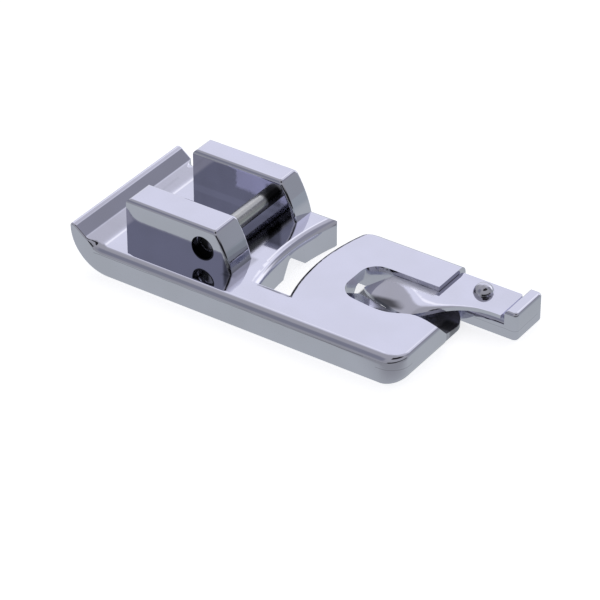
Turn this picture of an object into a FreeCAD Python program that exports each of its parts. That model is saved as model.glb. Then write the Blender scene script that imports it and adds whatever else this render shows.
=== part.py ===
"""Clip-on rolled hem presser foot of a sewing machine.

Four pieces: the cast foot body, the ankle bar pressed between its ears, the hem scroll folded from thin
sheet and the rivet that holds the scroll on the arm. Sizes are in millimetres. The front, where the cloth
comes in, is towards -Y, +X is the sewer's right and +Z is up. The pieces are shaped with the sole at z = 0
and then lowered, so that the origin is on the ankle bar's axis, midway between the ears.
"""
import FreeCAD, Part
import math
import os

V = FreeCAD.Vector

# The casting as a whole
FOOT_LENGTH = 45.0
PLATE_THICKNESS = 3.15
LEFT_REACH = 11.25
RIGHT_REACH = 7.3
REAR_REACH = 14.05
TOE_REACH = 25.75
SHOULDER_REACH = 21.9

# Roundings of the casting's edges
SIDE_ROUNDING = 0.95
TOE_TOP_ROUNDING = 0.45
TOE_SOLE_ROUNDING = 1.1
SOLE_ROUNDING = 0.2
CUT_ROUNDING = 0.4

# Corners of the casting seen from above
TOE_CORNER = 2.2
PLATE_CORNER = 1.8
BRIDGE_CORNER = 0.6

# Upturned rear end: the sole curls up and the top climbs a ramp to the lip
SKI_RADIUS = 4.6
APRON_START = 10.4
APRON_COVE = 2.5
APRON_ANGLE = 22.0
RAMP_START = 12.1
RAMP_COVE = 1.0
RAMP_ANGLE = 38.0
LIP_WIDTH = 0.65
LIP_ANGLE = 17.0
LIP_CREST = 0.7
LIP_REAR = 0.3

# Needle slot: a crescent between two arcs about one centre, open on the right
SLOT_REACH = 5.65
SLOT_WIDTH = 3.55
SLOT_RADIUS = 26.0
SLOT_MIDDLE = -0.3
SLOT_LEFT_REACH = 7.4

# Eye behind the mouth, with a ramp down the toe's inner side
EYE_REACH = 13.85
EYE_LEFT_REACH = 4.3
EYE_LEFT_CORNER = 2.4
EYE_RIGHT_CORNER = 2.0
EYE_STRAIGHT_REACH = 20.2
NECK_LEFT_REACH = 3.33
NECK_REACH = 22.5
NECK_SHARE = 0.22
MOUTH_LEFT_REACH = 3.9
EYE_SLOT_WIDTH = 0.95
RAMP_FOOT_HEIGHT = 1.65
RAMP_FOOT_LEFT_REACH = 1.3
RAMP_FOOT_MIDDLE_LEFT_REACH = 2.15
RAMP_FOOT_MIDDLE_REACH = 19.5
SLIT_LEFT_REACH = 2.35
SLIT_START_REACH = 21.0

# Front arm, its end lug and the guide trough beside it
ARM_INNER_SIDE = 2.25
ARM_HEIGHT = 2.2
LUG_LENGTH = 1.45
LUG_CORNER = 0.5
LUG_ROUNDING = 0.35
SLIT_WIDTH = 0.3
TROUGH_REACH = 25.3
TROUGH_LENGTH = 6.4
TROUGH_FLOOR = 0.85
TROUGH_EDGE = 1.1
TROUGH_DIP_WIDTH = 1.6
TROUGH_COVE_HEIGHT = 1.9
TROUGH_COVE_WIDTH = 1.3
TROUGH_CORNER = 1.9
TROUGH_ROUNDING = 0.3

# Hem groove under the plate
GROOVE_DEPTH = 1.9
GROOVE_FOOT_LEFT_REACH = 1.6
GROOVE_CEILING_LEFT_REACH = 0.45
GROOVE_CORNER = 0.6

# Ears and ankle bar
EAR_GAP = 7.7
NEAR_EAR_THICKNESS = 3.88
FAR_EAR_THICKNESS = 3.06
EAR_HEIGHT = 4.42
EAR_REAR_REACH = 9.45
EAR_FOOT_REACH = 3.5
EAR_TOP_REACH = 1.55
EAR_FRONT_BULGE = 0.23
EAR_ROUNDING = 0.5
EAR_FRONT_ROUNDING = 0.3
BAR_DIAMETER = 1.85
BAR_HEIGHT = 5.15
BAR_SEAT_DEPTH = 1.8
BAR_CHAMFER = 0.15
BAR_CLEARANCE = 0.005
COUNTERBORE_DIAMETER = 2.6
COUNTERBORE_DEPTH = 1.0

# Hem scroll: a flat pad on the arm and a tongue that curls down into the eye
SHEET_THICKNESS = 0.4
PAD_RIGHT_MARGIN = 0.75
PAD_LUG_GAP = 0.35
PAD_CORNER = 0.3
SCROLL_CLEARANCE = 0.05
TONGUE_WIDTH = 4.35
TONGUE_DROP = 1.3
TONGUE_HEEL_REACH = 16.8
BEND_WEIGHT = 2.5

# Scroll rivet
RIVET_FROM_INNER_SIDE = 2.45
RIVET_PAD_SHARE = 0.49
RIVET_SHANK_DIAMETER = 1.2
RIVET_HEAD_DIAMETER = 2.2
RIVET_HEAD_HEIGHT = 1.0
RIVET_SETBACK = 0.1
RIVET_CLEARANCE = 0.02

# Worked out from the sizes above
ARM_REACH = FOOT_LENGTH - REAR_REACH
EAR_TOP = PLATE_THICKNESS + EAR_HEIGHT
PAD_TOP = ARM_HEIGHT + SHEET_THICKNESS
NEAR_EAR_FACE = -EAR_GAP / 2 - NEAR_EAR_THICKNESS
TROUGH_LEFT = SLIT_WIDTH - SLIT_LEFT_REACH
RIVET_X = ARM_INNER_SIDE + RIVET_FROM_INNER_SIDE
PAD_FRONT = LUG_LENGTH + PAD_LUG_GAP - ARM_REACH
PAD_REAR = -SHOULDER_REACH - SCROLL_CLEARANCE
RIVET_Y = PAD_FRONT + (PAD_REAR - PAD_FRONT) * RIVET_PAD_SHARE

# How far a cutting shape stands out past the metal, and how deep a fused one goes in
OVERSHOOT = 1.0
EMBED = 0.5

# Middle of a quarter arc, as a share of its radius measured from the corner that it rounds
CORNER_SHARE = 1 - math.sqrt(0.5)


def line(start, end):
    """A straight edge."""
    return Part.LineSegment(start, end).toShape()


def rounded_outline(corners):
    """A closed wire through (point, radius) corners, each rounded by a tangent arc where it has a radius."""
    ends = []
    for number, (point, radius) in enumerate(corners):
        if radius == 0:
            ends.append((point, None, point))
            continue
        back = (corners[number - 1][0] - point).normalize()
        ahead = (corners[(number + 1) % len(corners)][0] - point).normalize()
        half_angle = back.getAngle(ahead) / 2
        tangent = radius / math.tan(half_angle)
        inward = (back + ahead).normalize()
        middle = point + inward * (radius / math.sin(half_angle) - radius)
        ends.append((point + back * tangent, middle, point + ahead * tangent))
    edges = []
    for number, (start, middle, end) in enumerate(ends):
        if middle is not None:
            edges.append(Part.Arc(start, middle, end).toShape())
        following = ends[(number + 1) % len(ends)][0]
        if end.distanceToPoint(following) > 1e-6:
            edges.append(line(end, following))
    return Part.Wire(edges)


def extruded(wire, direction):
    """A solid swept from a flat closed wire."""
    return Part.Face(wire).extrude(direction)


def edge_number(shape, point):
    """The number of the shape's edge that passes nearest to a point, counted from 1."""
    mark = Part.Vertex(point)
    distances = [edge.distToShape(mark)[0] for edge in shape.Edges]
    return distances.index(min(distances)) + 1


def rounded(shape, picks):
    """Round edges, each picked by a point on it and the radii at its two ends.

    Edges that meet smoothly are rounded as one chain. A tapering edge comes before its even neighbours in
    the list, because they settle the radius at the ends that they share with it.
    """
    document = FreeCAD.newDocument("Rounding")
    base = document.addObject("Part::Feature", "Base")
    base.Shape = shape
    rounding = document.addObject("Part::Fillet", "Rounded")
    rounding.Base = base
    rounding.Edges = [(edge_number(shape, point), first, last) for point, first, last in picks]
    document.recompute()
    result = rounding.Shape.copy()
    FreeCAD.closeDocument(document.Name)
    if result.isNull():
        raise ValueError("an edge could not be rounded")
    return result


def even(point, radius):
    """A pick with the same radius all along the edge."""
    return (point, radius, radius)


def climb(start, end_y, angle):
    """The point at end_y on a line that climbs from start at an angle in degrees."""
    return V(start.x, end_y, start.z + (end_y - start.y) * math.tan(math.radians(angle)))


def rear_corners():
    """The corners of the rear's upper outline, before they are rounded: apron, ramp, crest and lip."""
    apron = V(-LEFT_REACH, APRON_START, PLATE_THICKNESS)
    ramp = climb(apron, RAMP_START, APRON_ANGLE)
    crest = climb(ramp, REAR_REACH - LIP_WIDTH, RAMP_ANGLE)
    return apron, ramp, crest, climb(crest, REAR_REACH, LIP_ANGLE)


def side_profile():
    """The casting's outline seen from the left: flat sole, upturned rear, apron, ramp and lip."""
    apron, ramp, crest, lip = rear_corners()
    return [
        (V(-LEFT_REACH, -TOE_REACH, 0), 0),
        (V(-LEFT_REACH, REAR_REACH, 0), SKI_RADIUS),
        (lip, LIP_REAR),
        (crest, LIP_CREST),
        (ramp, RAMP_COVE),
        (apron, APRON_COVE),
        (V(-LEFT_REACH, -TOE_REACH, PLATE_THICKNESS), 0),
    ]


def slot_y(radius, x):
    """Where an arc about the needle slot's centre stands at x."""
    centre_y = -SLOT_REACH - SLOT_RADIUS
    return centre_y + math.sqrt(radius ** 2 - (x - SLOT_MIDDLE) ** 2)


def slot_cutter():
    """The crescent of the needle slot, run out past the right side."""
    front_radius = SLOT_RADIUS - SLOT_WIDTH
    left, right = -SLOT_LEFT_REACH, RIGHT_REACH + OVERSHOOT

    def corner(radius, x):
        return V(x, slot_y(radius, x), -OVERSHOOT)

    wire = Part.Wire([
        Part.Arc(corner(SLOT_RADIUS, left), corner(SLOT_RADIUS, 0), corner(SLOT_RADIUS, right)).toShape(),
        line(corner(SLOT_RADIUS, right), corner(front_radius, right)),
        Part.Arc(corner(front_radius, right), corner(front_radius, 0), corner(front_radius, left)).toShape(),
        line(corner(front_radius, left), corner(SLOT_RADIUS, left)),
    ])
    return extruded(wire, V(0, 0, PLATE_THICKNESS + 2 * OVERSHOOT))


def plate():
    """The plate with its needle slot, shoulder and rounded edges, before the eye is cut."""
    width = LEFT_REACH + RIGHT_REACH
    blank = extruded(rounded_outline(side_profile()), V(width, 0, 0))
    ahead = Part.makeBox(RIGHT_REACH + OVERSHOOT, TOE_REACH, PLATE_THICKNESS + 2 * OVERSHOOT,
                         V(0, -SHOULDER_REACH - TOE_REACH, -OVERSHOOT))
    blank = blank.cut(slot_cutter()).cut(ahead).removeSplitter()
    return rounded_shoulder(rounded_outside(rounded_corners(blank))).cut(bridge_corner_cutter())


def bridge_corner_cutter():
    """What is cut outside the bridge's upright corner, where the slot's rear wall meets the right side."""
    low = -OVERSHOOT
    centre_x = RIGHT_REACH - BRIDGE_CORNER
    centre = V(centre_x, slot_y(SLOT_RADIUS + BRIDGE_CORNER, centre_x), low)
    slot_centre = V(SLOT_MIDDLE, -SLOT_REACH - SLOT_RADIUS, low)
    to_wall = (slot_centre - centre).normalize()
    to_side = V(1, 0, 0)
    wall_point = centre + to_wall * BRIDGE_CORNER
    side_point = centre + to_side * BRIDGE_CORNER
    middle = centre + (to_wall + to_side).normalize() * BRIDGE_CORNER
    outside = RIGHT_REACH + OVERSHOOT
    ahead = wall_point.y - OVERSHOOT
    wire = Part.Wire([
        Part.Arc(wall_point, middle, side_point).toShape(),
        line(side_point, V(outside, side_point.y, low)),
        line(V(outside, side_point.y, low), V(outside, ahead, low)),
        line(V(outside, ahead, low), V(wall_point.x, ahead, low)),
        line(V(wall_point.x, ahead, low), wall_point),
    ])
    return extruded(wire, V(0, 0, PLATE_THICKNESS + 2 * OVERSHOOT))


def rounded_corners(blank):
    """Round the plate's upright corners."""
    middle = PLATE_THICKNESS / 2
    slot_front = slot_y(SLOT_RADIUS - SLOT_WIDTH, RIGHT_REACH)
    return rounded(blank, [
        even(V(-LEFT_REACH, -TOE_REACH, middle), TOE_CORNER),
        even(V(RIGHT_REACH, slot_front, middle), PLATE_CORNER),
    ])


def toe_corner_point(z):
    """The middle of the toe's left front corner, seen from above."""
    inward = TOE_CORNER * CORNER_SHARE
    return V(inward - LEFT_REACH, inward - TOE_REACH, z)


def rounded_outside(blank):
    """Round the outer edges: small round the sole, the heel and the lip, wide along the top and the slot."""
    apron, ramp, crest, lip = rear_corners()
    apron_middle = (apron + ramp) * 0.5
    ramp_middle = (ramp + crest) * 0.5
    heel_z = (SKI_RADIUS + lip.z) / 2
    sides = (-LEFT_REACH, RIGHT_REACH)
    top = PLATE_THICKNESS
    tapering = [
        (toe_corner_point(0), SOLE_ROUNDING, TOE_SOLE_ROUNDING),
        (toe_corner_point(top), SIDE_ROUNDING, TOE_TOP_ROUNDING),
    ]
    tapering += [(V(side, apron_middle.y, apron_middle.z), SIDE_ROUNDING, SOLE_ROUNDING) for side in sides]
    steady = [even(V(side, REAR_REACH, heel_z), SOLE_ROUNDING) for side in sides]
    steady += [even(V(side, ramp_middle.y, ramp_middle.z), SOLE_ROUNDING) for side in sides]
    steady += [even(V(side, APRON_START / 2, 0), SOLE_ROUNDING) for side in sides]
    steady += [even(V(side, APRON_START / 2, top), SIDE_ROUNDING) for side in sides]
    steady += [
        even(V(-LEFT_REACH / 2, -TOE_REACH, 0), TOE_SOLE_ROUNDING),
        even(V(-LEFT_REACH / 2, -TOE_REACH, top), TOE_TOP_ROUNDING),
        even(V(0, slot_y(SLOT_RADIUS, 0), top), SIDE_ROUNDING),
    ]
    return rounded(blank, tapering + steady)


def rounded_shoulder(blank):
    """Round the top edges ahead of the slot: wide on the right, narrow along the slot."""
    top = PLATE_THICKNESS
    front_radius = SLOT_RADIUS - SLOT_WIDTH
    corner_y = slot_y(front_radius, RIGHT_REACH) - PLATE_CORNER * CORNER_SHARE
    corner = V(RIGHT_REACH - PLATE_CORNER * CORNER_SHARE, corner_y, top)
    return rounded(blank, [
        (corner, SIDE_ROUNDING, CUT_ROUNDING),
        even(V(RIGHT_REACH, (corner_y - SHOULDER_REACH) / 2, top), SIDE_ROUNDING),
        even(V(0, slot_y(front_radius, 0), top), CUT_ROUNDING),
    ])


def curve(points):
    """A smooth edge through points."""
    spline = Part.BSplineCurve()
    spline.interpolate(points)
    return spline.toShape()


def mouth_edge(z):
    """The toe's inner edge at the top, from the eye's rear slot past the neck to the mouth."""
    centre = V(EYE_LEFT_CORNER - EYE_LEFT_REACH, -EYE_REACH - EYE_LEFT_CORNER, z)
    start_turn = math.asin(1 - EYE_SLOT_WIDTH / EYE_LEFT_CORNER)
    corner = [centre + V(-math.cos(turn), math.sin(turn), 0) * EYE_LEFT_CORNER
              for turn in (start_turn, start_turn / 2, 0)]
    neck = V(-NECK_LEFT_REACH, -NECK_REACH, z)
    neck_end = neck - V(0, (TOE_REACH - NECK_REACH) * NECK_SHARE, 0)
    mouth = V(-MOUTH_LEFT_REACH, -TOE_REACH, z)
    beyond = mouth + (mouth - neck_end).normalize() * OVERSHOOT
    return corner + [V(-EYE_LEFT_REACH, -EYE_STRAIGHT_REACH, z), neck, neck_end, mouth, beyond]


def ramp_foot(z):
    """The ramp's lower edge, from the eye's rear slot to the straight slit beside the trough."""
    return [
        V(-RAMP_FOOT_LEFT_REACH, -EYE_REACH - EYE_SLOT_WIDTH, z),
        V(-RAMP_FOOT_MIDDLE_LEFT_REACH, -RAMP_FOOT_MIDDLE_REACH, z),
        V(-SLIT_LEFT_REACH, -SLIT_START_REACH, z),
        V(-SLIT_LEFT_REACH, -TOE_REACH - OVERSHOOT, z),
    ]


def eye_well():
    """The part of the eye that is open from top to sole, mouth included."""
    low = -OVERSHOOT
    left_edge = ramp_foot(low)
    strip_start = mouth_edge(low)[0]
    rear = -EYE_REACH
    right_corner = V(ARM_INNER_SIDE, rear - EYE_RIGHT_CORNER, low)
    inward = EYE_RIGHT_CORNER * CORNER_SHARE
    right_middle = V(ARM_INNER_SIDE - inward, rear - inward, low)
    rear_right = V(ARM_INNER_SIDE - EYE_RIGHT_CORNER, rear, low)
    rear_left = V(EYE_LEFT_CORNER - EYE_LEFT_REACH, rear, low)
    centre = rear_left - V(0, EYE_LEFT_CORNER, 0)
    half_turn = (math.pi / 2 + math.atan2(strip_start.y - centre.y, strip_start.x - centre.x)) / 2
    left_middle = centre + V(math.cos(half_turn), math.sin(half_turn), 0) * EYE_LEFT_CORNER
    front_right = V(ARM_INNER_SIDE, -TOE_REACH - OVERSHOOT, low)
    wire = Part.Wire([
        line(front_right, right_corner),
        Part.Arc(right_corner, right_middle, rear_right).toShape(),
        line(rear_right, rear_left),
        Part.Arc(rear_left, left_middle, strip_start).toShape(),
        line(strip_start, left_edge[0]),
        curve(left_edge),
        line(left_edge[-1], front_right),
    ])
    return extruded(wire, V(0, 0, PLATE_THICKNESS + 2 * OVERSHOOT))


def eye_ramp():
    """What is cut from above the ramp on the toe's inner side."""

    def level(points):
        rear_right = V(ARM_INNER_SIDE - EYE_RIGHT_CORNER, points[0].y, points[0].z)
        front_right = V(ARM_INNER_SIDE - EYE_RIGHT_CORNER, points[-1].y, points[-1].z)
        return Part.Wire([
            curve(points),
            line(points[-1], front_right),
            line(front_right, rear_right),
            line(rear_right, points[0]),
        ])

    top = level(mouth_edge(PLATE_THICKNESS))
    slope = Part.makeLoft([level(ramp_foot(RAMP_FOOT_HEIGHT)), top], True, True)
    return slope.fuse(extruded(top, V(0, 0, OVERSHOOT)))


def groove_cutter():
    """The hem groove in the sole, from the eye out through the curled rear."""
    start = -EYE_REACH - EYE_SLOT_WIDTH / 2
    outline = rounded_outline([
        (V(-GROOVE_FOOT_LEFT_REACH, start, 0), 0),
        (V(-GROOVE_CEILING_LEFT_REACH, start, GROOVE_DEPTH), GROOVE_CORNER),
        (V(ARM_INNER_SIDE, start, GROOVE_DEPTH), GROOVE_CORNER),
        (V(ARM_INNER_SIDE, start, -OVERSHOOT), 0),
        (V(-GROOVE_FOOT_LEFT_REACH, start, -OVERSHOOT), 0),
    ])
    return extruded(outline, V(0, REAR_REACH + OVERSHOOT - start, 0))


def arm():
    """The front arm with its end lug; its root is buried in the plate."""
    root_y = EMBED - SHOULDER_REACH
    lug_y = LUG_LENGTH - ARM_REACH
    near, far = ARM_INNER_SIDE, RIGHT_REACH
    outline = [
        V(near, root_y, 0), V(near, -ARM_REACH, 0), V(near, -ARM_REACH, PLATE_THICKNESS),
        V(near, lug_y, PLATE_THICKNESS), V(near, lug_y, ARM_HEIGHT), V(near, root_y, ARM_HEIGHT),
    ]
    blank = extruded(Part.makePolygon(outline + outline[:1]), V(far - near, 0, 0))
    blank = rounded(blank, [even(V(side, -ARM_REACH, ARM_HEIGHT / 2), LUG_CORNER) for side in (near, far)])
    middle_y = (lug_y - SHOULDER_REACH) / 2
    lug_middle_y = lug_y - (LUG_LENGTH - LUG_CORNER) / 2
    blank = rounded(blank, [even(V(side, middle_y, ARM_HEIGHT), SIDE_ROUNDING) for side in (near, far)])
    blank = rounded(blank, [
        even(V((near + far) / 2, -ARM_REACH, PLATE_THICKNESS), LUG_ROUNDING),
        even(V((near + far) / 2, lug_y, PLATE_THICKNESS), LUG_ROUNDING),
        even(V(near, lug_middle_y, PLATE_THICKNESS), LUG_ROUNDING),
    ])
    return rounded(blank, [even(V(side, middle_y, 0), SOLE_ROUNDING) for side in (near, far)])


def trough():
    """The guide trough on the arm's inner side, under the tongue of the scroll."""
    rear = TROUGH_LENGTH - TROUGH_REACH
    left, right = TROUGH_LEFT, ARM_INNER_SIDE

    def at(x, z):
        return V(x, rear, z)

    section = Part.Wire([
        line(at(right, 0), at(left, 0)),
        line(at(left, 0), at(left, TROUGH_EDGE)),
        curve([
            at(left, TROUGH_EDGE),
            at(left + TROUGH_DIP_WIDTH, TROUGH_FLOOR),
            at(right - TROUGH_COVE_WIDTH, TROUGH_FLOOR),
            at(right, TROUGH_COVE_HEIGHT),
        ]),
        line(at(right, TROUGH_COVE_HEIGHT), at(right, 0)),
    ])
    bar = extruded(section, V(0, -TROUGH_LENGTH, 0))
    plan = rounded_outline([
        (V(left, rear, -OVERSHOOT), 0),
        (V(left, -TROUGH_REACH, -OVERSHOOT), 0),
        (V(right, -TROUGH_REACH, -OVERSHOOT), TROUGH_CORNER),
        (V(right, rear, -OVERSHOOT), 0),
    ])
    bar = bar.common(extruded(plan, V(0, 0, PLATE_THICKNESS + OVERSHOOT)))
    return rounded(bar, [even(V((left + right) / 2, -TROUGH_REACH, 0), TROUGH_ROUNDING)])


def ear(near_face, thickness):
    """One ear: upright rear, flat top and a bowed front that leans back to the foot."""
    root = PLATE_THICKNESS - EMBED
    foot = V(near_face, -EAR_FOOT_REACH, PLATE_THICKNESS)
    tip = V(near_face, -EAR_TOP_REACH, EAR_TOP)
    chord = tip - foot
    outward = V(0, -chord.z, chord.y).normalize()
    middle = (foot + tip) * 0.5 + outward * EAR_FRONT_BULGE
    heel = V(near_face, EAR_REAR_REACH, root)
    crown = V(near_face, EAR_REAR_REACH, EAR_TOP)
    toe = V(near_face, -EAR_FOOT_REACH, root)
    wire = Part.Wire([
        line(heel, crown), line(crown, tip), Part.Arc(tip, middle, foot).toShape(),
        line(foot, toe), line(toe, heel),
    ])
    blank = extruded(wire, V(thickness, 0, 0))
    sides = (near_face, near_face + thickness)
    centre_x = near_face + thickness / 2
    top_y = (EAR_REAR_REACH - EAR_TOP_REACH) / 2
    picks = [even(V(side, top_y, EAR_TOP), EAR_ROUNDING) for side in sides]
    picks += [even(V(centre_x, y, EAR_TOP), EAR_ROUNDING) for y in (-EAR_TOP_REACH, EAR_REAR_REACH)]
    picks += [even(V(side, middle.y, middle.z), EAR_FRONT_ROUNDING) for side in sides]
    return rounded(blank, picks)


def along_x(start_x, length, diameter):
    """A cylinder on the ankle bar's axis."""
    return Part.makeCylinder(diameter / 2, length, V(start_x, 0, BAR_HEIGHT), V(1, 0, 0))


def foot_body():
    """The whole casting."""
    body = plate().cut(eye_well()).cut(eye_ramp()).cut(groove_cutter())
    ears = [ear(NEAR_EAR_FACE, NEAR_EAR_THICKNESS), ear(EAR_GAP / 2, FAR_EAR_THICKNESS)]
    body = body.fuse([arm(), trough()] + ears)
    bore = BAR_DIAMETER + 2 * BAR_CLEARANCE
    counterbore = along_x(NEAR_EAR_FACE - OVERSHOOT, COUNTERBORE_DEPTH + OVERSHOOT, COUNTERBORE_DIAMETER)
    seat_end = EAR_GAP / 2 + BAR_SEAT_DEPTH
    bar_hole = along_x(NEAR_EAR_FACE, seat_end - NEAR_EAR_FACE, bore)
    rivet_hole = Part.makeCylinder(RIVET_SHANK_DIAMETER / 2 + RIVET_CLEARANCE,
                                   PLATE_THICKNESS + 2 * OVERSHOOT, V(RIVET_X, RIVET_Y, -OVERSHOOT))
    return body.cut([counterbore, bar_hole, rivet_hole]).removeSplitter()


def ankle_bar():
    """The pin between the ears, from the counterbore's floor to the end of the blind hole."""
    start = NEAR_EAR_FACE + COUNTERBORE_DEPTH
    end = EAR_GAP / 2 + BAR_SEAT_DEPTH
    pin = along_x(start, end - start, BAR_DIAMETER)
    rims = [edge for edge in pin.Edges if edge.BoundBox.XLength < BAR_CHAMFER]
    return pin.makeChamfer(BAR_CHAMFER, rims)


def tongue():
    """The scroll's tongue, lofted through cuts that fan from across the arm to across the eye.

    Each cut runs from the edge along the arm to the free edge: level as far as the bend, then down. The
    rows give, for the point on the arm's side, its share of the way from the arm's front to the tongue's
    heel, then the free edge's place and drop as shares of the tongue's length, width and drop, and where
    the bend lies between the two.
    """
    rows = (
        (0.00, 0.00, 0.02, 0.00, 0.60),
        (0.11, 0.11, 0.03, 0.00, 0.70),
        (0.23, 0.24, 0.11, 0.02, 0.78),
        (0.36, 0.41, 0.40, 0.08, 0.85),
        (0.48, 0.53, 0.72, 0.27, 0.80),
        (0.60, 0.64, 0.95, 0.47, 0.62),
        (0.72, 0.76, 0.96, 0.69, 0.46),
        (0.86, 0.94, 0.77, 0.86, 0.30),
        (1.00, 1.21, 0.42, 1.00, 0.12),
    )
    arm_side = ARM_INNER_SIDE - SCROLL_CLEARANCE
    length = -TONGUE_HEEL_REACH - PAD_FRONT
    cuts = []
    for arm_share, free_share, width_share, drop_share, bend_share in rows:
        root = V(arm_side, PAD_FRONT + length * arm_share, PAD_TOP)
        level = V(arm_side - TONGUE_WIDTH * width_share, PAD_FRONT + length * free_share, PAD_TOP)
        bend = root + (level - root) * bend_share
        free = level - V(0, 0, TONGUE_DROP * drop_share)
        cuts.append(sheet_cut(root, bend, free))
    return Part.makeLoft(cuts, True)


def sheet_cut(root, bend, free):
    """The outline of one cut across the tongue, a sheet's thickness deep."""
    down = V(0, 0, -SHEET_THICKNESS)

    def bent(shift):
        conic = Part.BezierCurve()
        conic.setPoles([root + shift, bend + shift, free + shift])
        conic.setWeight(2, BEND_WEIGHT)
        return conic.toShape()

    return Part.Wire([bent(V(0, 0, 0)), line(free, free + down), bent(down), line(root + down, root)])


def hem_scroll():
    """The folded sheet: pad on the arm and tongue in the eye, with a hole for the rivet."""
    left = ARM_INNER_SIDE - SCROLL_CLEARANCE
    right = RIGHT_REACH - PAD_RIGHT_MARGIN
    pad = extruded(rounded_outline([
        (V(left, PAD_FRONT, ARM_HEIGHT), 0),
        (V(right, PAD_FRONT, ARM_HEIGHT), PAD_CORNER),
        (V(right, PAD_REAR, ARM_HEIGHT), PAD_CORNER),
        (V(left, PAD_REAR, ARM_HEIGHT), 0),
    ]), V(0, 0, SHEET_THICKNESS))
    hole = Part.makeCylinder(RIVET_SHANK_DIAMETER / 2 + RIVET_CLEARANCE, SHEET_THICKNESS + 2 * OVERSHOOT,
                             V(RIVET_X, RIVET_Y, ARM_HEIGHT - OVERSHOOT))
    return pad.fuse(tongue()).cut(hole).removeSplitter()


def scroll_rivet():
    """The dome-headed rivet, turned about its axis."""
    shank = RIVET_SHANK_DIAMETER / 2
    head = RIVET_HEAD_DIAMETER / 2
    crown = V(0, 0, PAD_TOP + RIVET_HEAD_HEIGHT)
    rim = V(head, 0, PAD_TOP)
    dome_radius = (head ** 2 + RIVET_HEAD_HEIGHT ** 2) / (2 * RIVET_HEAD_HEIGHT)
    half = math.asin(head / dome_radius) / 2
    shoulder = V(dome_radius * math.sin(half), 0, crown.z - dome_radius * (1 - math.cos(half)))
    foot_z = RIVET_SETBACK
    half_section = Part.Wire([
        Part.Arc(crown, shoulder, rim).toShape(),
        line(rim, V(shank, 0, PAD_TOP)),
        line(V(shank, 0, PAD_TOP), V(shank, 0, foot_z)),
        line(V(shank, 0, foot_z), V(0, 0, foot_z)),
        line(V(0, 0, foot_z), crown),
    ])
    turned = Part.Face(half_section).revolve(V(0, 0, 0), V(0, 0, 1), 360)
    return turned.translated(V(RIVET_X, RIVET_Y, 0))


def main():
    """Shape every piece, lower it to the bar's axis and write it out."""
    os.makedirs("parts", exist_ok=True)
    pieces = {
        "foot_body": foot_body(),
        "ankle_bar": ankle_bar(),
        "hem_scroll": hem_scroll(),
        "scroll_rivet": scroll_rivet(),
    }
    for name, shape in pieces.items():
        solid = shape.Solids[0].translated(V(0, 0, -BAR_HEIGHT))
        print(f"{name}: {len(shape.Solids)} solid, valid {solid.isValid()}, {solid.Volume:.2f} mm3")
        solid.exportStep(f"parts/{name}.step")


main()
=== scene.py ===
"""Clip-on rolled hem presser foot: finishes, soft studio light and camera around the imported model.

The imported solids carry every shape. This script dresses them in plated and ground metal, stands them on a
pale floor and looks at them as the photograph does. The scene is in metres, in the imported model's frame.
The patches, the sweeps and the camera are written in millimetres.
"""
import logging
import math
from dataclasses import dataclass
from enum import Enum

import bmesh
import bpy
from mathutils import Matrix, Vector


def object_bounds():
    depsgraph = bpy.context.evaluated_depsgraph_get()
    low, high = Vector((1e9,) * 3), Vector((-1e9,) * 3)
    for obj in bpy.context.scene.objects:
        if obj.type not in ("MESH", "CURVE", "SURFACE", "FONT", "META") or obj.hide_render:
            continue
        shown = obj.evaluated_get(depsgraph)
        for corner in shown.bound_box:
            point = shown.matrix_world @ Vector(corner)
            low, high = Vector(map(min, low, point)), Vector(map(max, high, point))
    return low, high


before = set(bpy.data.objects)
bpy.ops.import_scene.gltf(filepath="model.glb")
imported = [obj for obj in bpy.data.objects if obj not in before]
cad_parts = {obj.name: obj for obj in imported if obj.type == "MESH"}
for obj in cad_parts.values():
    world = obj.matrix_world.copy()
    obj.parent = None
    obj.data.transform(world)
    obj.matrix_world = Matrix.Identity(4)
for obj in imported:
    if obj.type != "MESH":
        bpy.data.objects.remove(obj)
CAD_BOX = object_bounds()

LOG = logging.getLogger("presser_foot")
MILLIMETRE = 0.001

# Places of a colour mix node's sockets in its lists of inputs and outputs.
MIX_SHARE = 0
MIX_UNDER = 6
MIX_OVER = 7
MIX_RESULT = 2

# The noises of every finish: their finer layers, and the span of values that makes a difference.
MARK_DETAIL = 6.0
MARK_ROUGHNESS = 0.6
MARK_SPAN = (0.35, 0.75)
WAVE_DETAIL = 1.0
WAVE_SPAN = (0.3, 0.7)
GRAIN_DETAIL = 3.0

# How a patch's edge strays: how far in metres, how finely and with how many finer layers.
STRAY = 0.00016
STRAY_SCALE = 700.0
STRAY_DETAIL = 2.0

Colour = tuple[float, float, float]
Triple = tuple[float, float, float]


class Blend(Enum):
    """How a colour layer is laid over the one below it."""

    MIX = "MIX"
    MULTIPLY = "MULTIPLY"


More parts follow.
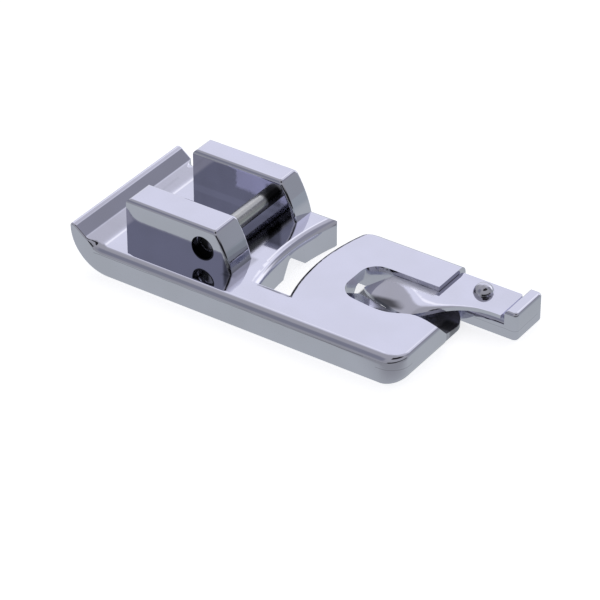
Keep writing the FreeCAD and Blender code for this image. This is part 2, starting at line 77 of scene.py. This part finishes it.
class NodeBoard:
    """A node tree with short ways to add and join nodes."""

    def __init__(self, tree: bpy.types.NodeTree) -> None:
        """Empty the tree.

        Args:
            tree: the node tree to build in.
        """
        self.tree = tree
        self.tree.nodes.clear()

    def add(self, kind: str, **settings: object) -> bpy.types.Node:
        """Add a node and set its options and its unlinked inputs.

        Args:
            kind: the node's type name.
            settings: an option of the node, or an input's name with underscores for spaces.

        Returns:
            The new node.
        """
        node = self.tree.nodes.new(kind)
        for name, value in settings.items():
            if hasattr(node, name):
                setattr(node, name, value)
            else:
                node.inputs[name.replace("_", " ")].default_value = value
        return node

    def join(self, source: bpy.types.NodeSocket, target: bpy.types.NodeSocket) -> None:
        """Link one node's output to another's input.

        Args:
            source: the output.
            target: the input.
        """
        self.tree.links.new(source, target)

    def math(self, operation: str, first: object, second: object = 0.0) -> bpy.types.NodeSocket:
        """Add a math node on two sockets or numbers.

        Args:
            operation: the math node's operation.
            first: a socket or a number.
            second: a socket or a number.

        Returns:
            The node's output.
        """
        node = self.add("ShaderNodeMath", operation=operation)
        for slot, value in zip(node.inputs, (first, second)):
            if isinstance(value, bpy.types.NodeSocket):
                self.join(value, slot)
            else:
                slot.default_value = value
        return node.outputs[0]

    def ranged(self, value: bpy.types.NodeSocket, start: float, end: float, low: float, high: float
               ) -> bpy.types.NodeSocket:
        """Map a value smoothly from one range to another.

        Args:
            value: the socket to map.
            start: where the change begins.
            end: where the change ends.
            low: the result at the start.
            high: the result at the end.

        Returns:
            The mapped value.
        """
        node = self.add("ShaderNodeMapRange", interpolation_type="SMOOTHSTEP")
        self.join(value, node.inputs["Value"])
        for name, number in zip(("From Min", "From Max", "To Min", "To Max"), (start, end, low, high)):
            node.inputs[name].default_value = number
        return node.outputs["Result"]

    def mixed(self, share: bpy.types.NodeSocket, under: object, over: object, blend: Blend = Blend.MIX
              ) -> bpy.types.NodeSocket:
        """Lay one colour over another.

        Args:
            share: how much of the upper colour shows.
            under: a colour socket or a colour.
            over: a colour socket or a colour.
            blend: how the two are combined.

        Returns:
            The mixed colour.
        """
        node = self.add("ShaderNodeMix", data_type="RGBA", blend_type=blend.value)
        self.join(share, node.inputs[MIX_SHARE])
        for slot, value in ((node.inputs[MIX_UNDER], under), (node.inputs[MIX_OVER], over)):
            if isinstance(value, bpy.types.NodeSocket):
                self.join(value, slot)
            else:
                slot.default_value = (*value, 1.0)
        return node.outputs[MIX_RESULT]

    def noise(self, place: bpy.types.NodeSocket, scale: float, detail: float, roughness: float = 0.5
              ) -> bpy.types.Node:
        """Add a noise texture.

        Args:
            place: the point at which it is read.
            scale: how fine it is.
            detail: how many finer layers it has.
            roughness: how strong the finer layers are.

        Returns:
            The noise node.
        """
        node = self.add("ShaderNodeTexNoise", Scale=scale, Detail=detail, Roughness=roughness)
        self.join(place, node.inputs["Vector"])
        return node

    def bump(self, height: bpy.types.NodeSocket, distance: float, below: bpy.types.NodeSocket | None = None
             ) -> bpy.types.NodeSocket:
        """Tilt the surface's normal by a height.

        Args:
            height: a value from nought to one.
            distance: how high one stands, in metres.
            below: the normal to start from, where it isn't the surface's own.

        Returns:
            The tilted normal.
        """
        node = self.add("ShaderNodeBump", Strength=1.0, Distance=distance)
        self.join(height, node.inputs["Height"])
        if below is not None:
            self.join(below, node.inputs["Normal"])
        return node.outputs["Normal"]

    def strayed(self, place: bpy.types.NodeSocket) -> bpy.types.NodeSocket:
        """Shift a point a little by a noise, so that an edge drawn there isn't straight as a ruler.

        Args:
            place: the point in Object coordinates.

        Returns:
            The shifted point.
        """
        stray = self.noise(place, STRAY_SCALE, STRAY_DETAIL)
        shifted = self.add("ShaderNodeVectorMath", operation="MULTIPLY_ADD")
        self.join(stray.outputs["Color"], shifted.inputs[0])
        shifted.inputs[1].default_value = (STRAY, STRAY, STRAY)
        self.join(place, shifted.inputs[2])
        return shifted.outputs[0]


def new_material(name: str) -> tuple[bpy.types.Material, NodeBoard]:
    """Make an empty node material.

    Args:
        name: the material's name.

    Returns:
        The material and the board for its nodes.
    """
    material = bpy.data.materials.new(name)
    material.use_nodes = True
    return material, NodeBoard(material.node_tree)


@dataclass(frozen=True)
class Patch:
    """A soft place with a tone and polish of its own; most are painted shade or painted light in the metal.

    It is a soft box, or a soft cylinder along X where a radius is given. Where it is a rim, it is a ring of
    that radius about an upright axis, and its reach says how wide it is, how far it runs along X and how
    high it is. The shade multiplies the tone and the dullness adds to the roughness. The film is the share
    of the surface that is matt. Lengths are in millimetres.
    """

    centre: Triple
    reach: Triple
    softness: float
    shade: float = 1.0
    dullness: float = 0.0
    film: float = 0.0
    radius: float = 0.0
    rim: bool = False

    def spans(self, board: NodeBoard, away: bpy.types.Node) -> list[tuple[bpy.types.NodeSocket, float]]:
        """List the distances that bound the patch.

        Args:
            board: the board to build on.
            away: the node whose outputs are X, Y and Z from the centre.

        Returns:
            Each distance in metres, with how far it goes in millimetres.
        """
        sides = [(board.math("ABSOLUTE", part), reach) for part, reach in zip(away.outputs, self.reach)]
        if not self.radius:
            return sides
        across = away.outputs[:2] if self.rim else away.outputs[1:]
        squares = [board.math("MULTIPLY", part, part) for part in across]
        distance = board.math("SQRT", board.math("ADD", *squares))
        if not self.rim:
            return [sides[0], (distance, self.radius)]
        from_ring = board.math("ABSOLUTE", board.math("SUBTRACT", distance, self.radius * MILLIMETRE))
        return [(from_ring, self.reach[0]), (sides[0][0], self.reach[1]), sides[2]]

    def share(self, board: NodeBoard, place: bpy.types.NodeSocket) -> bpy.types.NodeSocket:
        """Work out how far a point lies in the patch.

        Args:
            board: the board to build on.
            place: the point in Object coordinates.

        Returns:
            One inside, nought outside and a soft step between.
        """
        away = board.add("ShaderNodeVectorMath", operation="SUBTRACT")
        board.join(place, away.inputs[0])
        away.inputs[1].default_value = Vector(self.centre) * MILLIMETRE
        parts = board.add("ShaderNodeSeparateXYZ")
        board.join(away.outputs[0], parts.inputs[0])
        blur = self.softness * MILLIMETRE / 2
        share = 1.0
        for distance, reach in self.spans(board, parts):
            edge = reach * MILLIMETRE
            inside = board.ranged(distance, edge - blur, edge + blur, 1.0, 0.0)
            share = board.math("MULTIPLY", share, inside)
        return share


@dataclass(frozen=True)
class MetalFinish:
    """A metal surface: its tones, its polish and the marks that making left on it.

    The marks change the polish. The waves change the tone and, like the grain, tilt the surface.
    """

    name: str
    tone: Colour
    second_tone: Colour
    smoothest: float
    roughest: float
    mark_stretch: Triple
    mark_scale: float
    wave_scale: float
    wave_height: float
    grain_scale: float
    grain_height: float
    patches: tuple[Patch, ...] = ()

    def patched(self, board: NodeBoard, place: bpy.types.NodeSocket, tone: bpy.types.NodeSocket,
                rough: bpy.types.NodeSocket) -> tuple[object, object, object]:
        """Lay the patches, painted shade and painted light among them, over the plain surface.

        Args:
            board: the board to build on.
            place: the point, with its stray.
            tone: the plain surface's tone.
            rough: the plain surface's roughness.

        Returns:
            The tone, the roughness and the share of bare metal, which is one where no patch has a film.
        """
        bare = 1.0
        for patch in self.patches:
            share = patch.share(board, place)
            tone = board.mixed(share, tone, (patch.shade,) * 3, Blend.MULTIPLY)
            rough = board.math("ADD", rough, board.math("MULTIPLY", share, patch.dullness))
            if patch.film:
                bare = board.math("SUBTRACT", bare, board.math("MULTIPLY", share, patch.film))
        return tone, rough, bare

    def material(self) -> bpy.types.Material:
        """Build the finish's nodes on Object coordinates.

        Returns:
            The material.
        """
        material, board = new_material(self.name)
        place = board.add("ShaderNodeTexCoord").outputs["Object"]
        stretched = board.add("ShaderNodeMapping", Scale=self.mark_stretch)
        board.join(place, stretched.inputs["Vector"])
        marks = board.noise(stretched.outputs[0], self.mark_scale, MARK_DETAIL, MARK_ROUGHNESS)
        waves = board.noise(place, self.wave_scale, WAVE_DETAIL)
        grain = board.noise(place, self.grain_scale, GRAIN_DETAIL)
        wave_share = board.ranged(waves.outputs["Fac"], *WAVE_SPAN, 0.0, 1.0)
        plain_tone = board.mixed(wave_share, self.tone, self.second_tone)
        plain_rough = board.ranged(marks.outputs["Fac"], *MARK_SPAN, self.smoothest, self.roughest)
        tone, rough, bare = self.patched(board, board.strayed(place), plain_tone, plain_rough)
        surface = board.add("ShaderNodeBsdfPrincipled", Metallic=1.0)
        if any(patch.film for patch in self.patches):
            board.join(bare, surface.inputs["Metallic"])
        board.join(tone, surface.inputs["Base Color"])
        board.join(rough, surface.inputs["Roughness"])
        coarse = board.bump(waves.outputs["Fac"], self.wave_height)
        board.join(board.bump(grain.outputs["Fac"], self.grain_height, coarse), surface.inputs["Normal"])
        output = board.add("ShaderNodeOutputMaterial")
        board.join(surface.outputs[0], output.inputs["Surface"])
        return material


# Painted shade and painted light in the casting's metal, and three thin dark lines.
CASTING_PAINTED_LIGHT_AND_LINES = (
    # The counterbore outside the near ear: painted shade, nearly black, and duller.
    Patch(centre=(-7.3, 0.0, 0.0), reach=(0.7, 0.0, 0.0), softness=0.08, shade=0.06, dullness=0.2,
          radius=1.36),
    # The plate under the bar: painted shade, a little darker.
    Patch(centre=(0.0, -1.4, -1.9), reach=(3.95, 1.8, 0.6), softness=0.9, shade=0.85, dullness=0.03),
    # The ears round the bar's two ends: painted shade, nearly black.
    Patch(centre=(0.0, -0.6, 0.5), reach=(3.95, 0.9, 1.1), softness=0.5, shade=0.12, dullness=0.05),
    # The ears' inner faces: painted shade, a little darker.
    Patch(centre=(0.0, 3.5, 0.35), reach=(3.95, 8.0, 1.85), softness=0.3, shade=0.8, dullness=0.03),
    # The eye's walls and ramp: painted shade, slightly darker, and duller.
    Patch(centre=(-0.8, -16.5, -3.8), reach=(3.2, 4.2, 1.5), softness=0.3, shade=0.95, dullness=0.12),
    # The top of the eye's right wall, beside the tongue: painted light, lighter and mostly matt.
    Patch(centre=(2.2, -18.2, -2.3), reach=(0.12, 3.6, 0.27), softness=0.05, shade=1.25, dullness=0.3,
          film=0.9),
    # The near ear's front: painted shade, darker.
    Patch(centre=(-5.8, -3.3, -0.85), reach=(2.1, 0.75, 1.25), softness=0.5, shade=0.7, dullness=0.02),
    # The front end of the near ear's left side: painted shade, darker.
    Patch(centre=(-7.75, -3.1, -1.15), reach=(0.35, 0.55, 0.75), softness=0.4, shade=0.45, dullness=0.03),
    # The guide trough: painted shade, darker, and partly matt and duller.
    Patch(centre=(0.0, -23.5, -4.0), reach=(2.0, 2.2, 1.1), softness=0.2, shade=0.8, dullness=0.15, film=0.2),
    # The front of the trough's floor: painted shade, much darker.
    Patch(centre=(-0.1, -24.5, -4.4), reach=(0.9, 0.8, 0.4), softness=0.5, shade=0.3, dullness=0.05),
    # The rim of the needle slot's curved front wall: a painted dark reflection, nearly black.
    Patch(centre=(-0.3, -31.65, -2.2), reach=(0.17, 7.2, 0.3), softness=0.06, shade=0.05, dullness=0.1,
          radius=22.29, rim=True),
    # The rim at the slot's left end: a painted dark reflection, a thin dark line.
    Patch(centre=(-7.5, -8.5, -2.0), reach=(0.11, 1.9, 0.1), softness=0.12, shade=0.3, dullness=0.05),
    # Three faint thin dark lines: along the left side, round the toe's corner and at the arm's front.
    Patch(centre=(-11.2, -5.2, -2.66), reach=(0.4, 16.4, 0.03), softness=0.07, shade=0.62),
    Patch(centre=(-10.2, -24.6, -3.3), reach=(1.6, 1.6, 0.025), softness=0.07, shade=0.68),
    Patch(centre=(4.0, -27.8, -3.95), reach=(2.4, 3.6, 0.02), softness=0.06, shade=0.7),
)
# Painted light and painted shade on the scroll.
SHEET_PAINTED_LIGHT = (
    # The tongue's right strip, along the eye's wall: painted light, lighter and mostly matt.
    Patch(centre=(1.9, -18.6, -2.6), reach=(0.5, 3.2, 0.3), softness=0.5, shade=1.25, dullness=0.3,
          film=0.85),
    # The tongue's left edge, deep in the eye: painted shade, much darker.
    Patch(centre=(-1.0, -17.5, -3.6), reach=(0.5, 2.5, 0.45), softness=0.5, shade=0.2, dullness=0.03),
)
# Painted shade on the pin.
PIN_PAINTED_SHADE = (
    # The bar's lower half: painted shade, much darker.
    Patch(centre=(0.0, 0.0, -0.5), reach=(3.9, 1.0, 0.6), softness=0.5, shade=0.22, dullness=0.05),
    # The bar beside the far ear: painted shade, nearly black.
    Patch(centre=(3.5, -0.3, 0.2), reach=(0.8, 0.9, 0.9), softness=0.5, shade=0.06, dullness=0.1),
    # The pin's end in the counterbore: painted shade, nearly black.
    Patch(centre=(-6.7, 0.6, -0.2), reach=(0.25, 0.6, 1.0), softness=0.4, shade=0.08, dullness=0.1),
)

CASTING_CHROME = MetalFinish(
    name="plated_casting", tone=(0.69, 0.69, 0.795), second_tone=(0.67, 0.67, 0.765),
    smoothest=0.03, roughest=0.075, mark_stretch=(1.0, 0.12, 1.0), mark_scale=1800.0,
    wave_scale=260.0, wave_height=4.0e-6, grain_scale=1200.0, grain_height=2.2e-6, patches=CASTING_PAINTED_LIGHT_AND_LINES)
SHEET_CHROME = MetalFinish(
    name="plated_sheet", tone=(0.69, 0.69, 0.795), second_tone=(0.66, 0.66, 0.75),
    smoothest=0.03, roughest=0.09, mark_stretch=(0.4, 0.4, 1.0), mark_scale=1500.0,
    wave_scale=300.0, wave_height=2.5e-6, grain_scale=5200.0, grain_height=1.2e-7, patches=SHEET_PAINTED_LIGHT)
RIVET_CHROME = MetalFinish(
    name="plated_rivet", tone=(0.67, 0.67, 0.76), second_tone=(0.63, 0.63, 0.71),
    smoothest=0.05, roughest=0.12, mark_stretch=(1.0, 1.0, 0.3), mark_scale=3000.0,
    wave_scale=900.0, wave_height=2.0e-6, grain_scale=6500.0, grain_height=2.0e-7)
GROUND_STEEL = MetalFinish(
    name="ground_pin", tone=(0.51, 0.51, 0.51), second_tone=(0.46, 0.46, 0.465),
    smoothest=0.16, roughest=0.30, mark_stretch=(1.0, 0.05, 0.05), mark_scale=9000.0,
    wave_scale=500.0, wave_height=1.0e-6, grain_scale=9000.0, grain_height=4.0e-7, patches=PIN_PAINTED_SHADE)


@dataclass
class PresserFoot:
    """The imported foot: which finish each of its pieces has."""

    finishes: tuple[tuple[str, MetalFinish], ...] = (
        ("foot_body", CASTING_CHROME),
        ("ankle_bar", GROUND_STEEL),
        ("hem_scroll", SHEET_CHROME),
        ("scroll_rivet", RIVET_CHROME),
    )

    def dress(self) -> None:
        """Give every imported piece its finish."""
        for node, finish in self.finishes:
            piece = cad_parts[node]
            material = finish.material()
            if not piece.material_slots:
                piece.data.materials.append(material)
            for slot in piece.material_slots:
                slot.material = material
            LOG.info("%s wears %s", node, finish.name)


@dataclass(frozen=True)
class Panel:
    """A soft rectangular panel of the studio: where it stands, how far it spreads and its tone.

    The azimuth is counted from +X towards +Y and the elevation from the horizon, all in degrees.
    """

    azimuth: float
    elevation: float
    width: float
    height: float
    softness: float
    tone: Colour

    def share(self, board: NodeBoard, azimuth: bpy.types.NodeSocket, elevation: bpy.types.NodeSocket
              ) -> bpy.types.NodeSocket:
        """Work out how much of the panel shows in a direction.

        Args:
            board: the board to build on.
            azimuth: the direction's azimuth in radians.
            elevation: the direction's elevation in radians.

        Returns:
            One inside the panel, nought outside and a soft step between.
        """
        away = board.math("SUBTRACT", azimuth, math.radians(self.azimuth))
        wrapped = board.add("ShaderNodeMath", operation="WRAP")
        board.join(away, wrapped.inputs[0])
        wrapped.inputs[1].default_value = math.pi
        wrapped.inputs[2].default_value = -math.pi
        around = board.math("ABSOLUTE", wrapped.outputs[0])
        height = board.math("ABSOLUTE", board.math("SUBTRACT", elevation, math.radians(self.elevation)))
        blur = math.radians(self.softness / 2)
        shares = []
        for distance, spread in ((around, self.width), (height, self.height)):
            edge = math.radians(spread / 2)
            shares.append(board.ranged(distance, edge - blur, edge + blur, 1.0, 0.0))
        return board.math("MULTIPLY", *shares)


@dataclass(frozen=True)
class Sweep:
    """A change of the floor's mirrored tone along a direction, between two distances in millimetres."""

    towards: Triple
    start: float
    end: float
    tone: Colour

    def share(self, board: NodeBoard, place: bpy.types.NodeSocket) -> bpy.types.NodeSocket:
        """Work out how far the change has come at a point of the floor.

        Args:
            board: the board to build on.
            place: the point in Object coordinates.

        Returns:
            Nought before the start, one past the end and a soft step between.
        """
        along = board.add("ShaderNodeVectorMath", operation="DOT_PRODUCT")
        board.join(place, along.inputs[0])
        along.inputs[1].default_value = self.towards
        return board.ranged(along.outputs["Value"], self.start * MILLIMETRE, self.end * MILLIMETRE, 0.0, 1.0)


@dataclass
class Studio:
    """A pale floor and the soft panels around the foot.

    The floor's size and gap are in metres. The room's climb is the span of the elevation's sine over which
    the low tone turns into the high one.
    """

    floor_size: float = 4.0
    floor_tone: Colour = (0.86, 0.86, 0.87)
    floor_gap: float = 0.00002
    floor_glow: float = 0.72
    # The floor in the narrow gap beside the tongue, which doesn't glow, so that it shows dark: a painted
    # shadow over the real shade that the paper gets there.
    painted_shadow_beside_tongue: Patch = Patch(centre=(0.9, -14.8, -5.15), reach=(1.7, 1.5, 1.0), softness=0.3)
    floor_mirrored: Colour = (0.50, 0.53, 0.53)
    sweeps: tuple[Sweep, ...] = (
        # Away from the camera the floor is brighter.
        Sweep(towards=(0.83, 0.56, 0.0), start=10.0, end=60.0, tone=(0.85, 0.86, 0.90)),
        # Towards the camera it is darker.
        Sweep(towards=(-0.83, -0.56, 0.0), start=21.5, end=26.0, tone=(0.33, 0.34, 0.35)),
        # Far to the left front it is nearly black.
        Sweep(towards=(-0.53, -0.85, 0.0), start=34.0, end=90.0, tone=(0.04, 0.04, 0.045)),
        # To the right front it is a middle grey.
        Sweep(towards=(0.68, -0.73, 0.0), start=22.0, end=58.0, tone=(0.39, 0.43, 0.45)),
    )
    room_low: Colour = (0.38, 0.385, 0.40)
    room_high: Colour = (0.44, 0.44, 0.46)
    room_climb: tuple[float, float] = (0.3, 0.95)
    panels: tuple[Panel, ...] = (
        # The broad bright one behind the foot, which the level tops mirror.
        Panel(azimuth=14.0, elevation=20.0, width=92.0, height=68.0, softness=16.0,
              tone=(0.92, 0.93, 1.02)),
        # High on the right, for tops that tip to the front.
        Panel(azimuth=0.0, elevation=58.0, width=56.0, height=24.0, softness=8.0,
              tone=(0.62, 0.62, 0.67)),
        # High at the rear, for tops that tip to the left.
        Panel(azimuth=69.0, elevation=46.0, width=26.0, height=24.0, softness=10.0,
              tone=(0.53, 0.53, 0.565)),
        # A thin bright strip, for tops that tip slightly to the front.
        Panel(azimuth=17.0, elevation=41.0, width=46.0, height=4.5, softness=3.0,
              tone=(1.25, 1.25, 1.27)),
        # The brightest one, low on the right, for slopes and round edges along the front.
        Panel(azimuth=-18.0, elevation=19.0, width=24.0, height=22.0, softness=12.0,
              tone=(1.35, 1.35, 1.36)),
        # A grey one at the right front, for slopes that face the front.
        Panel(azimuth=-40.0, elevation=38.0, width=34.0, height=30.0, softness=10.0,
              tone=(0.31, 0.315, 0.36)),
        # A grey one under it, for steep slopes that face the front.
        Panel(azimuth=-47.0, elevation=6.0, width=22.0, height=16.0, softness=8.0,
              tone=(0.36, 0.38, 0.40)),
        # Two black bands in front, low and high, for dark lines in round edges at the left front.
        Panel(azimuth=-122.0, elevation=6.0, width=100.0, height=20.0, softness=8.0,
              tone=(0.02, 0.02, 0.022)),
        Panel(azimuth=-116.0, elevation=65.0, width=100.0, height=24.0, softness=8.0,
              tone=(0.02, 0.02, 0.022)),
        # A dark grey one at the left rear, for slopes that face the left.
        Panel(azimuth=146.0, elevation=36.0, width=40.0, height=36.0, softness=20.0,
              tone=(0.25, 0.26, 0.305)),
    )

    def world(self) -> None:
        """Make the room: plain white for the camera, and the panels for the metal and the light."""
        world = bpy.data.worlds.new("studio")
        world.use_nodes = True
        bpy.context.scene.world = world
        board = NodeBoard(world.node_tree)
        towards = board.add("ShaderNodeTexCoord").outputs["Generated"]
        parts = board.add("ShaderNodeSeparateXYZ")
        board.join(towards, parts.inputs[0])
        azimuth = board.math("ARCTAN2", parts.outputs["Y"], parts.outputs["X"])
        elevation = board.math("ARCSINE", parts.outputs["Z"])
        climb = board.ranged(parts.outputs["Z"], *self.room_climb, 0.0, 1.0)
        tone = board.mixed(climb, self.room_low, self.room_high)
        for panel in self.panels:
            tone = board.mixed(panel.share(board, azimuth, elevation), tone, panel.tone)
        light = board.add("ShaderNodeBackground")
        board.join(tone, light.inputs["Color"])
        plain = board.add("ShaderNodeBackground", Color=(1.0, 1.0, 1.0, 1.0))
        seen = board.add("ShaderNodeLightPath").outputs["Is Camera Ray"]
        either = board.add("ShaderNodeMixShader")
        board.join(seen, either.inputs[0])
        board.join(light.outputs[0], either.inputs[1])
        board.join(plain.outputs[0], either.inputs[2])
        output = board.add("ShaderNodeOutputWorld")
        board.join(either.outputs[0], output.inputs["Surface"])

    def floor(self) -> None:
        """Lay the pale floor under the sole; the camera sees it as white with the foot's soft shadow."""
        mesh = bpy.data.meshes.new("floor")
        shape = bmesh.new()
        bmesh.ops.create_grid(shape, x_segments=1, y_segments=1, size=self.floor_size / 2)
        bmesh.ops.translate(shape, verts=shape.verts, vec=(0.0, 0.0, CAD_BOX[0].z - self.floor_gap))
        shape.to_mesh(mesh)
        shape.free()
        floor = bpy.data.objects.new("floor", mesh)
        bpy.context.scene.collection.objects.link(floor)
        floor.data.materials.append(self.paper())

    def paper(self) -> bpy.types.Material:
        """Make the floor's paper: lit, shadowed and glowing for the camera, sweeps of tone for the metal.

        Returns:
            The material.
        """
        material, board = new_material("floor_paper")
        place = board.add("ShaderNodeTexCoord").outputs["Object"]
        tone = self.floor_mirrored
        for sweep in self.sweeps:
            tone = board.mixed(sweep.share(board, place), tone, sweep.tone)
        mirrored = board.add("ShaderNodeEmission")
        board.join(tone, mirrored.inputs["Color"])
        path = board.add("ShaderNodeLightPath")
        paper = board.add("ShaderNodeBsdfDiffuse", Color=(*self.floor_tone, 1.0))
        glow = board.add("ShaderNodeEmission", Color=(1.0, 1.0, 1.0, 1.0))
        # The glow is cut at the painted shadow beside the tongue.
        open_floor = board.math("SUBTRACT", 1.0, self.painted_shadow_beside_tongue.share(board, place))
        seen_glow = board.math("MULTIPLY", path.outputs["Is Camera Ray"], self.floor_glow)
        board.join(board.math("MULTIPLY", seen_glow, open_floor), glow.inputs["Strength"])
        lit = board.add("ShaderNodeAddShader")
        board.join(paper.outputs[0], lit.inputs[0])
        board.join(glow.outputs[0], lit.inputs[1])
        either = board.add("ShaderNodeMixShader")
        board.join(path.outputs["Is Glossy Ray"], either.inputs[0])
        board.join(lit.outputs[0], either.inputs[1])
        board.join(mirrored.outputs[0], either.inputs[2])
        output = board.add("ShaderNodeOutputMaterial")
        board.join(either.outputs[0], output.inputs["Surface"])
        return material

    def build(self) -> None:
        """Set up the room and the floor."""
        self.world()
        self.floor()
        bpy.context.scene.view_settings.view_transform = "Standard"
        LOG.info("studio with %d panels", len(self.panels))


@dataclass
class Viewpoint:
    """The photograph's camera: a long lens from the left front, above the foot.

    The azimuth turns it about +Z from looking along +Y and the elevation tips it down, both in degrees.
    Lengths are in millimetres.
    """

    azimuth: float = -55.738
    elevation: float = 34.073
    distance: float = 315.925
    lens: float = 191.19
    sensor: float = 36.0
    target: Triple = (-7.281, -11.605, -2.15)

    def place(self) -> None:
        """Put the camera in the scene and make it the active one."""
        turn = math.radians(self.azimuth)
        tilt = math.radians(self.elevation)
        ahead = Vector((-math.sin(turn) * math.cos(tilt), math.cos(turn) * math.cos(tilt), -math.sin(tilt)))
        camera = bpy.data.objects.new("viewpoint", bpy.data.cameras.new("viewpoint"))
        camera.data.lens = self.lens
        camera.data.sensor_width = self.sensor
        camera.data.clip_start = MILLIMETRE
        camera.location = (Vector(self.target) - ahead * self.distance) * MILLIMETRE
        camera.rotation_euler = ahead.to_track_quat("-Z", "Y").to_euler()
        bpy.context.scene.collection.objects.link(camera)
        bpy.context.scene.camera = camera


def main() -> None:
    """Dress the foot, light it and set the camera."""
    logging.basicConfig(level=logging.INFO, format="%(message)s")
    Viewpoint().place()
    PresserFoot().dress()
    Studio().build()


if __name__ == "__main__":
    main()
